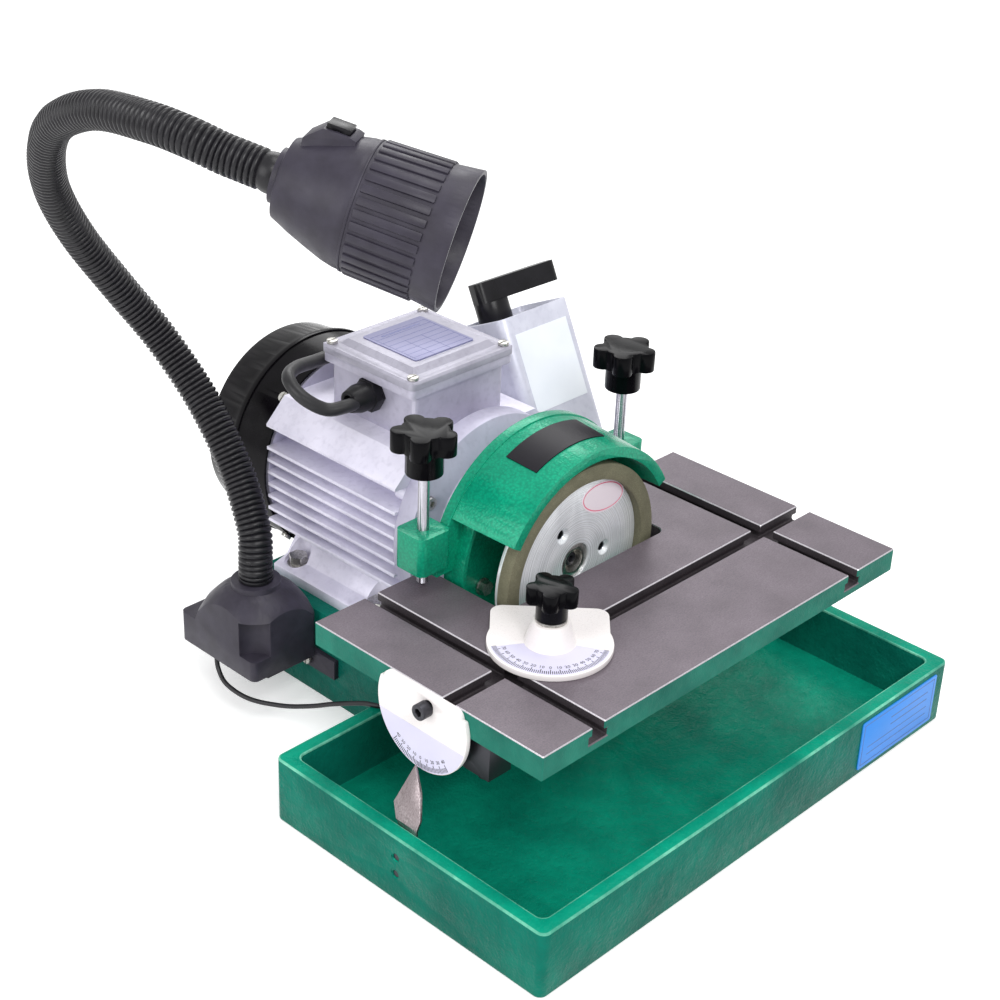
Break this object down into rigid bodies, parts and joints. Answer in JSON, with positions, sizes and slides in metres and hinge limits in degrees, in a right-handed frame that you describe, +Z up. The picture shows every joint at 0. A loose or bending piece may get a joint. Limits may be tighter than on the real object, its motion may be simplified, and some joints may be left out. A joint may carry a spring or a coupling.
{
  "type": "drill bit sharpener",
  "caption": "Bench grinder for drill bits: a motor turns a face wheel behind a tilting slotted table with a protractor fence, over a drip tray, lit by a flexible-neck lamp.",
  "frame": {"origin": "middle of the drip tray's underside, on the bench", "axes": "+Z up, -Y towards the operator at the tray's front, +X to the operator's right, along the table"},
  "size_m": [0.4708, 0.5062, 0.4882],
  "materials": {
    "green_enamel": "gloss",
    "hammertone_green": "hammertone",
    "blue_label": "gloss",
    "label_metal": "satin",
    "dark_label": "gloss",
    "black_oxide": "black oxide",
    "stainless": "brushed",
    "zinc_steel": "zinc plated",
    "motor_silver": "silver paint",
    "copper_stack": "varnished",
    "rotor_steel": "machined",
    "black_gloss_paint": "gloss",
    "black_plastic": "gloss",
    "black_rubber": "matt",
    "lamp_black": "satin",
    "aluminium_plate": "turned",
    "abrasive": "gritty",
    "ground_iron": "ground",
    "white_scale": "satin",
    "bulb_glass": "opal"
  },
  "bodies": {
    "machine": {"drip_tray": "green_enamel", "rating_plate": "blue_label", "motor_pedestal": "green_enamel", "pedestal_bolts": "black_oxide", "pointer": "stainless", "pointer_screws": "black_oxide", "motor_foot": "motor_silver", "motor_foot_bolts": "zinc_steel", "motor_housing": "motor_silver", "front_end_shield": "motor_silver", "front_shield_screws": "black_oxide", "rear_end_shield": "motor_silver", "stator": "copper_stack", "bearings": "stainless", "fan_cover": "black_gloss_paint", "fan_cover_screws": "zinc_steel", "terminal_box": "motor_silver", "terminal_box_lid": "motor_silver", "terminal_lid_screws": "zinc_steel", "motor_nameplate": "label_metal", "cable_gland": "black_plastic", "switch_lead": "black_rubber", "wheel_guard": "hammertone_green", "guard_screws": "zinc_steel", "guard_badge": "dark_label", "switch_cover": "motor_silver", "switch_end_cap": "motor_silver", "switch_gland": "black_plastic", "switch_bracket": "green_enamel", "switch_bracket_bolts": "zinc_steel", "lamp_bracket": "black_gloss_paint", "lamp_bracket_screws": "zinc_steel", "lamp_base": "lamp_black", "lamp_lead": "black_rubber"},
    "rotor": {"rotor_shaft": "stainless", "rotor_core": "rotor_steel", "cooling_fan": "black_plastic", "wheel_arbor": "rotor_steel", "arbor_screw": "black_oxide", "wheel_body": "aluminium_plate", "wheel_rim": "abrasive"},
    "table": {"table": "ground_iron", "pivot_shaft": "stainless", "pivot_caps": "black_oxide", "pivot_cap_screws": "black_oxide", "tilt_dial": "white_scale", "tilt_dial_screw": "black_oxide"},
    "left_screw": {"left_adjusting_screw": "zinc_steel"},
    "right_screw": {"right_adjusting_screw": "zinc_steel"},
    "left_knob": {"left_knob": "black_plastic"},
    "right_knob": {"right_knob": "black_plastic"},
    "fence_carriage": {"fence_t_bolt": "zinc_steel"},
    "protractor": {"protractor": "white_scale"},
    "fence_knob": {"fence_knob": "black_plastic"},
    "switch_handle": {"switch_handle": "black_plastic"},
    "lamp_neck": {"flexible_neck": "lamp_black", "neck_ferrules": "lamp_black"},
    "lamp_head": {"lamp_head": "lamp_black", "lamp_bulb": "bulb_glass"},
    "lamp_rocker": {"lamp_rocker": "black_plastic"}
  },
  "joints": [
    {"name": "spindle_spin", "type": "hinge", "parent": "machine", "child": "rotor", "pos_m": [0, 0.16, 0.143], "axis": [0, -1, 0], "continuous": true},
    {"name": "table_tilt", "type": "hinge", "parent": "machine", "child": "table", "pos_m": [0, 0.016, 0.122], "axis": [-1, 0, 0], "range_deg": [0, 20]},
    {"name": "left_screw_feed", "type": "slide", "parent": "machine", "child": "left_screw", "axis": [0, 0, -1], "range_m": [0, 0.0315]},
    {"name": "right_screw_feed", "type": "slide", "parent": "machine", "child": "right_screw", "axis": [0, 0, -1], "range_m": [0, 0.0315]},
    {"name": "left_knob_turn", "type": "hinge", "parent": "left_screw", "child": "left_knob", "pos_m": [-0.0995, 0.1075, 0.24], "axis": [0, 0, -1], "range_deg": [0, 9060]},
    {"name": "right_knob_turn", "type": "hinge", "parent": "right_screw", "child": "right_knob", "pos_m": [0.0995, 0.1075, 0.24], "axis": [0, 0, -1], "range_deg": [0, 9060]},
    {"name": "fence_slide", "type": "slide", "parent": "table", "child": "fence_carriage", "axis": [1, 0, 0], "range_m": [-0.06, 0.24]},
    {"name": "fence_swivel", "type": "hinge", "parent": "fence_carriage", "child": "protractor", "pos_m": [-0.092, -0.004, 0.144], "axis": [0, 0, 1], "range_deg": [-50, 50]},
    {"name": "fence_knob_turn", "type": "hinge", "parent": "fence_carriage", "child": "fence_knob", "pos_m": [-0.092, -0.004, 0.17], "axis": [0, 0, 1], "continuous": true},
    {"name": "switch_turn", "type": "hinge", "parent": "machine", "child": "switch_handle", "pos_m": [0.11, 0.23463, 0.2106], "axis": [0, 0.4384, 0.8988], "range_deg": [-60, 60]},
    {"name": "neck_swing", "type": "hinge", "parent": "machine", "child": "lamp_neck", "pos_m": [-0.1343, 0.243, 0.101], "axis": [0, 0, 1], "range_deg": [-25, 25]},
    {"name": "head_tilt", "type": "hinge", "parent": "lamp_neck", "child": "lamp_head", "pos_m": [-0.2095, 0.1235, 0.4533], "axis": [0.8508, 0.5255, 0], "range_deg": [-20, 20]},
    {"name": "lamp_rocker", "type": "hinge", "parent": "lamp_head", "child": "lamp_rocker", "pos_m": [-0.18818, 0.08898, 0.48263], "axis": [0.8508, 0.5255, 0], "range_deg": [0, 10]}
  ],
  "couplings": [
    {"joint": "left_screw_feed", "follows": "table_tilt", "m_per_rad": 0.08995},
    {"joint": "right_screw_feed", "follows": "table_tilt", "m_per_rad": 0.08995},
    {"joint": "left_knob_turn", "follows": "table_tilt", "ratio": 452.16},
    {"joint": "right_knob_turn", "follows": "table_tilt", "ratio": 452.16}
  ]
}
